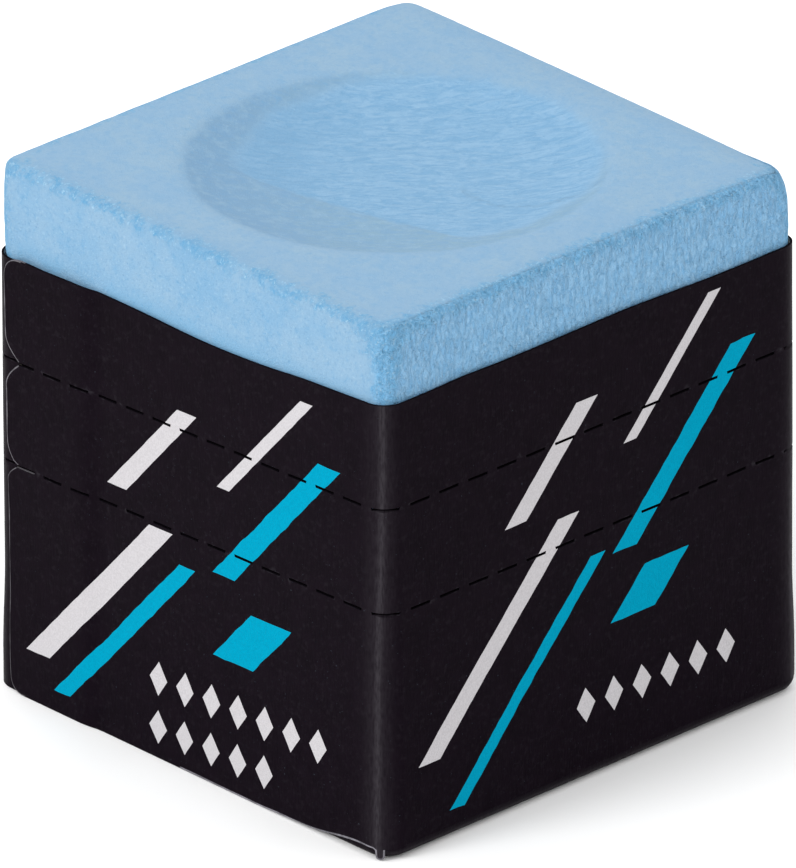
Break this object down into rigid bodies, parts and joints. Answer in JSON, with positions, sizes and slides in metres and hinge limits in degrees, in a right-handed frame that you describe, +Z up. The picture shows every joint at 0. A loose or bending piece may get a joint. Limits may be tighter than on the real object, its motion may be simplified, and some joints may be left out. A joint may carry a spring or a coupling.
{
  "type": "cue chalk cube",
  "caption": "Pressed blue chalk block with a shallow dish on top, in a black paper label that tears off in rings along perforated lines.",
  "frame": {"origin": "centre of the underside, on the surface that the cube stands on", "axes": "+Z up, out of the dish; +X the side that the base flap is hinged on; -Y the side where the label's tail laps over its lead end"},
  "size_m": [0.0228, 0.0229, 0.0229],
  "materials": {
    "chalk": "dry pressed powder",
    "label_paper": "satin black print",
    "adhesive": "thin tacky coat"
  },
  "bodies": {
    "block": {"chalk_block": "chalk", "lower_wrap": "label_paper", "lower_wrap_adhesive": "adhesive", "base_flap": "label_paper", "base_flap_adhesive": "adhesive", "lower_perforation_ties": "label_paper"},
    "middle_band": {"middle_ring": "label_paper", "middle_ring_adhesive": "adhesive", "upper_perforation_ties": "label_paper"},
    "upper_band": {"upper_ring": "label_paper", "upper_ring_adhesive": "adhesive"}
  },
  "joints": [
    {"name": "middle_ring_lift", "type": "slide", "parent": "block", "child": "middle_band", "axis": [0, 0, 1], "range_m": [0, 0.014]},
    {"name": "upper_ring_lift", "type": "slide", "parent": "middle_band", "child": "upper_band", "axis": [0, 0, 1], "range_m": [0, 0.0095]}
  ]
}
